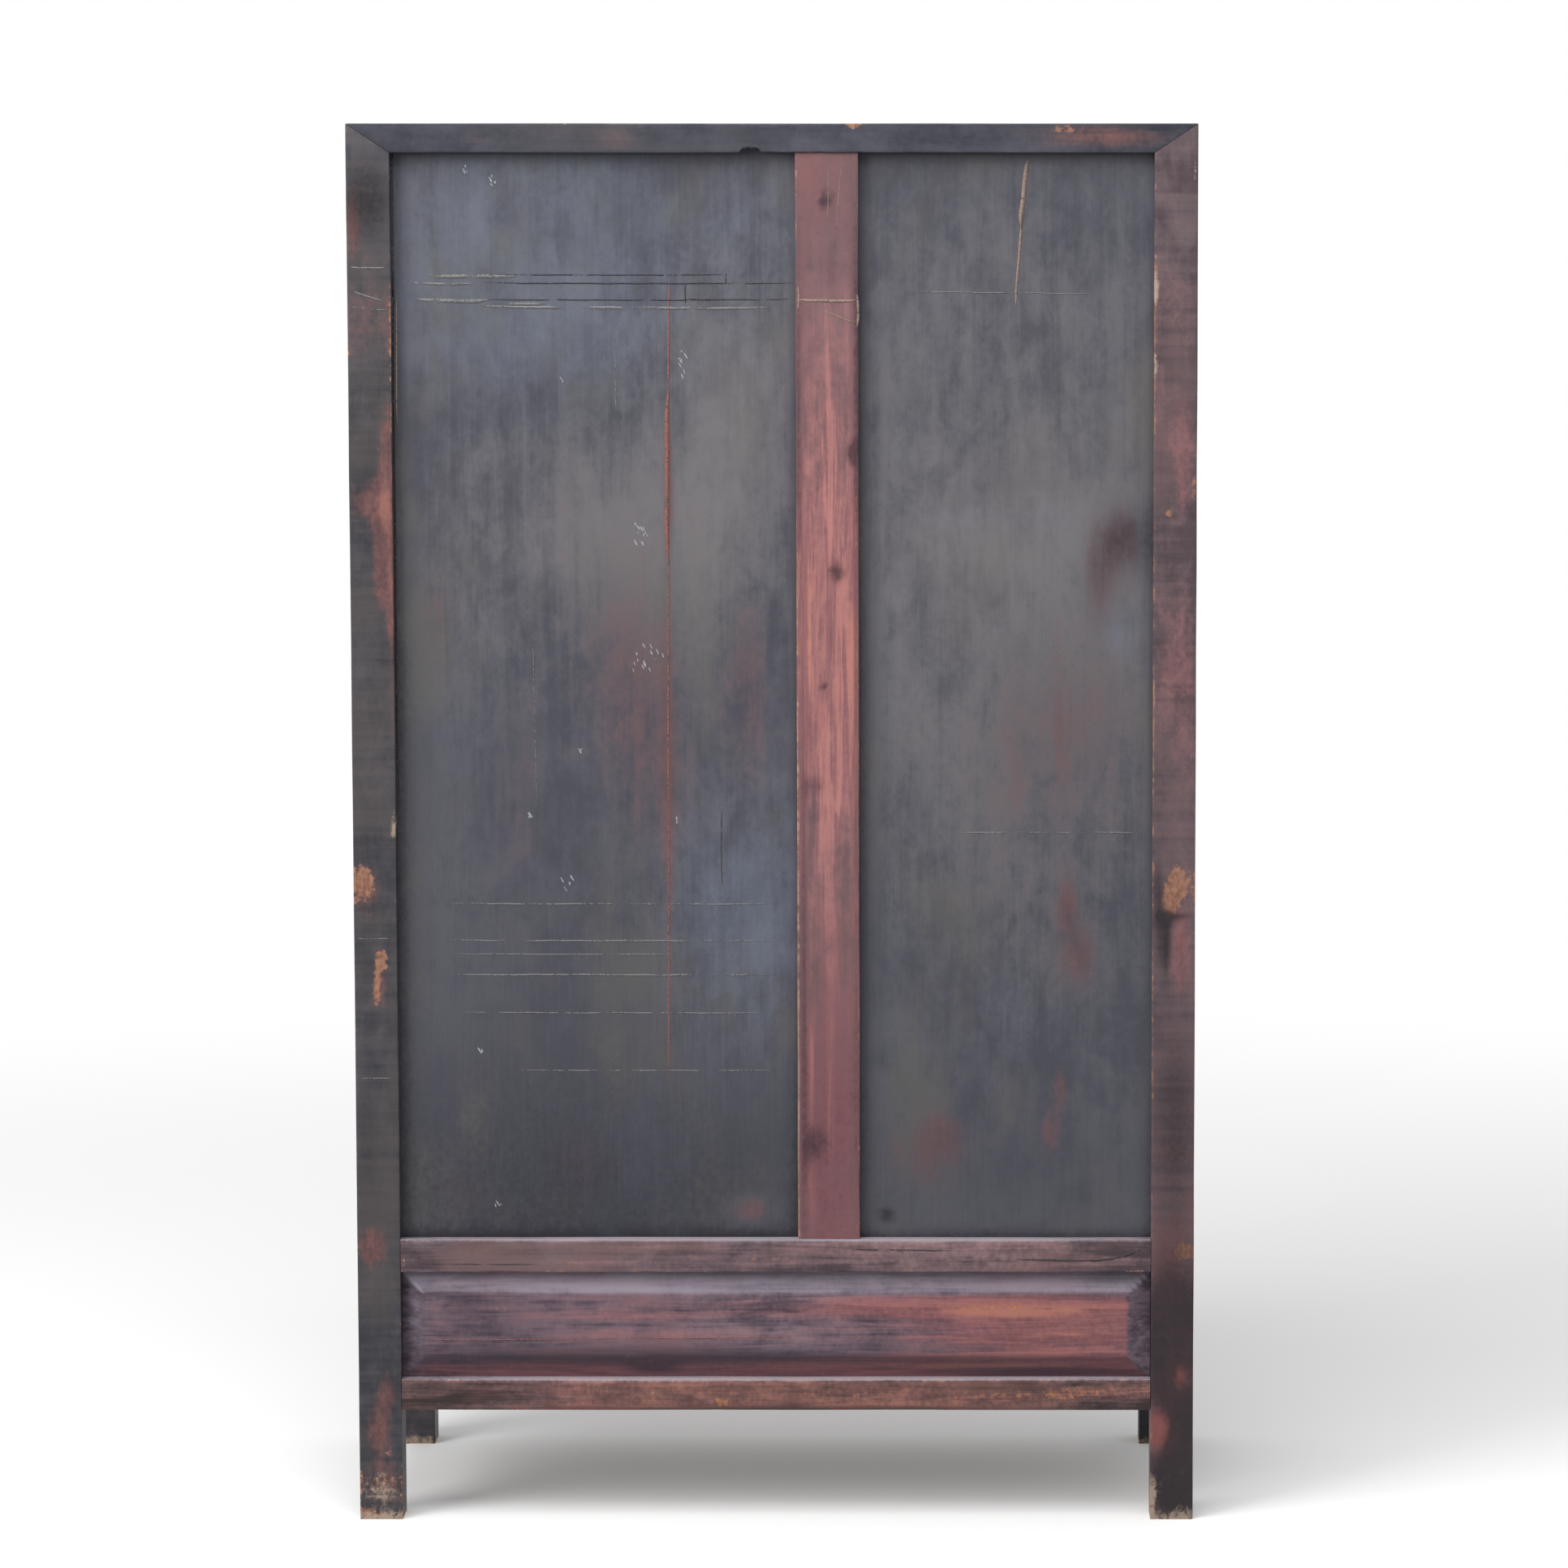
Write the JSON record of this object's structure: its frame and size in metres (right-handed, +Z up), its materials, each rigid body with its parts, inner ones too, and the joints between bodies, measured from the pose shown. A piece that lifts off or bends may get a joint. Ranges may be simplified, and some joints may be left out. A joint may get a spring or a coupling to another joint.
{
  "type": "apothecary cabinet",
  "caption": "Tall Chinese apothecary cabinet with a mitred post-and-rail frame, panelled back and sides, and a crate of small sliding drawers over long lower drawers.",
  "frame": {"origin": "on the floor, under the middle of the cabinet's overall box with its drawer knobs", "axes": "+Z up; the drawers face and open along -Y, so the panelled back faces +Y; +X to the right of a person facing the drawers"},
  "size_m": [1.05, 0.477, 1.75],
  "materials": {
    "frame_lacquer": "worn dark brown lacquer",
    "panel_lacquer": "worn blue-black lacquer",
    "red_lacquer": "worn red-brown lacquer",
    "drawer_lacquer": "worn red-brown lacquer",
    "bare_wood": "bare aged softwood",
    "brass": "tarnished brass"
  },
  "bodies": {
    "carcass": {"back_apron_panel": "red_lacquer", "back_mullion": "red_lacquer", "back_panel_narrow": "panel_lacquer", "back_panel_wide": "panel_lacquer", "bottom_rail_back": "frame_lacquer", "bottom_rail_front": "frame_lacquer", "bottom_rail_left": "frame_lacquer", "bottom_rail_right": "frame_lacquer", "crate_shelves": "bare_wood", "crate_uprights": "bare_wood", "dust_boards": "bare_wood", "lower_uprights": "bare_wood", "post_back_left": "frame_lacquer", "post_back_right": "frame_lacquer", "post_front_left": "frame_lacquer", "post_front_right": "frame_lacquer", "side_apron_panels": "red_lacquer", "side_panels_left": "panel_lacquer", "side_panels_right": "panel_lacquer", "side_rails": "frame_lacquer", "top_battens": "bare_wood", "top_panel": "panel_lacquer", "top_rail_back": "frame_lacquer", "top_rail_front": "frame_lacquer", "top_rail_left": "frame_lacquer", "top_rail_right": "frame_lacquer", "waist_rail_back": "frame_lacquer", "waist_rail_front": "frame_lacquer", "waist_rail_left": "frame_lacquer", "waist_rail_right": "frame_lacquer"},
    "drawer_row1_column1": {"drawer_row1_column1": "drawer_lacquer"},
    "drawer_row1_column2": {"drawer_row1_column2": "drawer_lacquer"},
    "drawer_row1_column3": {"drawer_row1_column3": "drawer_lacquer"},
    "drawer_row1_column4": {"drawer_row1_column4": "drawer_lacquer"},
    "drawer_row2_column1": {"drawer_row2_column1": "drawer_lacquer"},
    "drawer_row2_column2": {"drawer_row2_column2": "drawer_lacquer"},
    "drawer_row2_column3": {"drawer_row2_column3": "drawer_lacquer"},
    "drawer_row2_column4": {"drawer_row2_column4": "drawer_lacquer"},
    "drawer_row3_column1": {"drawer_row3_column1": "drawer_lacquer"},
    "drawer_row3_column2": {"drawer_row3_column2": "drawer_lacquer"},
    "drawer_row3_column3": {"drawer_row3_column3": "drawer_lacquer"},
    "drawer_row3_column4": {"drawer_row3_column4": "drawer_lacquer"},
    "drawer_row4_column1": {"drawer_row4_column1": "drawer_lacquer"},
    "drawer_row4_column2": {"drawer_row4_column2": "drawer_lacquer"},
    "drawer_row4_column3": {"drawer_row4_column3": "drawer_lacquer"},
    "drawer_row4_column4": {"drawer_row4_column4": "drawer_lacquer"},
    "drawer_row5_column1": {"drawer_row5_column1": "drawer_lacquer"},
    "drawer_row5_column2": {"drawer_row5_column2": "drawer_lacquer"},
    "drawer_row5_column3": {"drawer_row5_column3": "drawer_lacquer"},
    "drawer_row5_column4": {"drawer_row5_column4": "drawer_lacquer"},
    "drawer_row6_column1": {"drawer_row6_column1": "drawer_lacquer"},
    "drawer_row6_column2": {"drawer_row6_column2": "drawer_lacquer"},
    "drawer_row6_column3": {"drawer_row6_column3": "drawer_lacquer"},
    "drawer_row6_column4": {"drawer_row6_column4": "drawer_lacquer"},
    "drawer_row7_column1": {"drawer_row7_column1": "drawer_lacquer"},
    "drawer_row7_column2": {"drawer_row7_column2": "drawer_lacquer"},
    "drawer_row7_column3": {"drawer_row7_column3": "drawer_lacquer"},
    "drawer_row7_column4": {"drawer_row7_column4": "drawer_lacquer"},
    "lower_drawer_left": {"lower_drawer_left": "drawer_lacquer"},
    "lower_drawer_right": {"lower_drawer_right": "drawer_lacquer"}
  },
  "joints": [
    {"name": "drawer_row1_column1_slide", "type": "slide", "parent": "carcass", "child": "drawer_row1_column1", "axis": [0, -1, 0], "range_m": [0, 0.3]},
    {"name": "drawer_row1_column2_slide", "type": "slide", "parent": "carcass", "child": "drawer_row1_column2", "axis": [0, -1, 0], "range_m": [0, 0.3]},
    {"name": "drawer_row1_column3_slide", "type": "slide", "parent": "carcass", "child": "drawer_row1_column3", "axis": [0, -1, 0], "range_m": [0, 0.3]},
    {"name": "drawer_row1_column4_slide", "type": "slide", "parent": "carcass", "child": "drawer_row1_column4", "axis": [0, -1, 0], "range_m": [0, 0.3]},
    {"name": "drawer_row2_column1_slide", "type": "slide", "parent": "carcass", "child": "drawer_row2_column1", "axis": [0, -1, 0], "range_m": [0, 0.3]},
    {"name": "drawer_row2_column2_slide", "type": "slide", "parent": "carcass", "child": "drawer_row2_column2", "axis": [0, -1, 0], "range_m": [0, 0.3]},
    {"name": "drawer_row2_column3_slide", "type": "slide", "parent": "carcass", "child": "drawer_row2_column3", "axis": [0, -1, 0], "range_m": [0, 0.3]},
    {"name": "drawer_row2_column4_slide", "type": "slide", "parent": "carcass", "child": "drawer_row2_column4", "axis": [0, -1, 0], "range_m": [0, 0.3]},
    {"name": "drawer_row3_column1_slide", "type": "slide", "parent": "carcass", "child": "drawer_row3_column1", "axis": [0, -1, 0], "range_m": [0, 0.3]},
    {"name": "drawer_row3_column2_slide", "type": "slide", "parent": "carcass", "child": "drawer_row3_column2", "axis": [0, -1, 0], "range_m": [0, 0.3]},
    {"name": "drawer_row3_column3_slide", "type": "slide", "parent": "carcass", "child": "drawer_row3_column3", "axis": [0, -1, 0], "range_m": [0, 0.3]},
    {"name": "drawer_row3_column4_slide", "type": "slide", "parent": "carcass", "child": "drawer_row3_column4", "axis": [0, -1, 0], "range_m": [0, 0.3]},
    {"name": "drawer_row4_column1_slide", "type": "slide", "parent": "carcass", "child": "drawer_row4_column1", "axis": [0, -1, 0], "range_m": [0, 0.3]},
    {"name": "drawer_row4_column2_slide", "type": "slide", "parent": "carcass", "child": "drawer_row4_column2", "axis": [0, -1, 0], "range_m": [0, 0.3]},
    {"name": "drawer_row4_column3_slide", "type": "slide", "parent": "carcass", "child": "drawer_row4_column3", "axis": [0, -1, 0], "range_m": [0, 0.3]},
    {"name": "drawer_row4_column4_slide", "type": "slide", "parent": "carcass", "child": "drawer_row4_column4", "axis": [0, -1, 0], "range_m": [0, 0.3]},
    {"name": "drawer_row5_column1_slide", "type": "slide", "parent": "carcass", "child": "drawer_row5_column1", "axis": [0, -1, 0], "range_m": [0, 0.3]},
    {"name": "drawer_row5_column2_slide", "type": "slide", "parent": "carcass", "child": "drawer_row5_column2", "axis": [0, -1, 0], "range_m": [0, 0.3]},
    {"name": "drawer_row5_column3_slide", "type": "slide", "parent": "carcass", "child": "drawer_row5_column3", "axis": [0, -1, 0], "range_m": [0, 0.3]},
    {"name": "drawer_row5_column4_slide", "type": "slide", "parent": "carcass", "child": "drawer_row5_column4", "axis": [0, -1, 0], "range_m": [0, 0.3]},
    {"name": "drawer_row6_column1_slide", "type": "slide", "parent": "carcass", "child": "drawer_row6_column1", "axis": [0, -1, 0], "range_m": [0, 0.3]},
    {"name": "drawer_row6_column2_slide", "type": "slide", "parent": "carcass", "child": "drawer_row6_column2", "axis": [0, -1, 0], "range_m": [0, 0.3]},
    {"name": "drawer_row6_column3_slide", "type": "slide", "parent": "carcass", "child": "drawer_row6_column3", "axis": [0, -1, 0], "range_m": [0, 0.3]},
    {"name": "drawer_row6_column4_slide", "type": "slide", "parent": "carcass", "child": "drawer_row6_column4", "axis": [0, -1, 0], "range_m": [0, 0.3]},
    {"name": "drawer_row7_column1_slide", "type": "slide", "parent": "carcass", "child": "drawer_row7_column1", "axis": [0, -1, 0], "range_m": [0, 0.3]},
    {"name": "drawer_row7_column2_slide", "type": "slide", "parent": "carcass", "child": "drawer_row7_column2", "axis": [0, -1, 0], "range_m": [0, 0.3]},
    {"name": "drawer_row7_column3_slide", "type": "slide", "parent": "carcass", "child": "drawer_row7_column3", "axis": [0, -1, 0], "range_m": [0, 0.3]},
    {"name": "drawer_row7_column4_slide", "type": "slide", "parent": "carcass", "child": "drawer_row7_column4", "axis": [0, -1, 0], "range_m": [0, 0.3]},
    {"name": "lower_drawer_left_slide", "type": "slide", "parent": "carcass", "child": "lower_drawer_left", "axis": [0, -1, 0], "range_m": [0, 0.3]},
    {"name": "lower_drawer_right_slide", "type": "slide", "parent": "carcass", "child": "lower_drawer_right", "axis": [0, -1, 0], "range_m": [0, 0.3]}
  ]
}
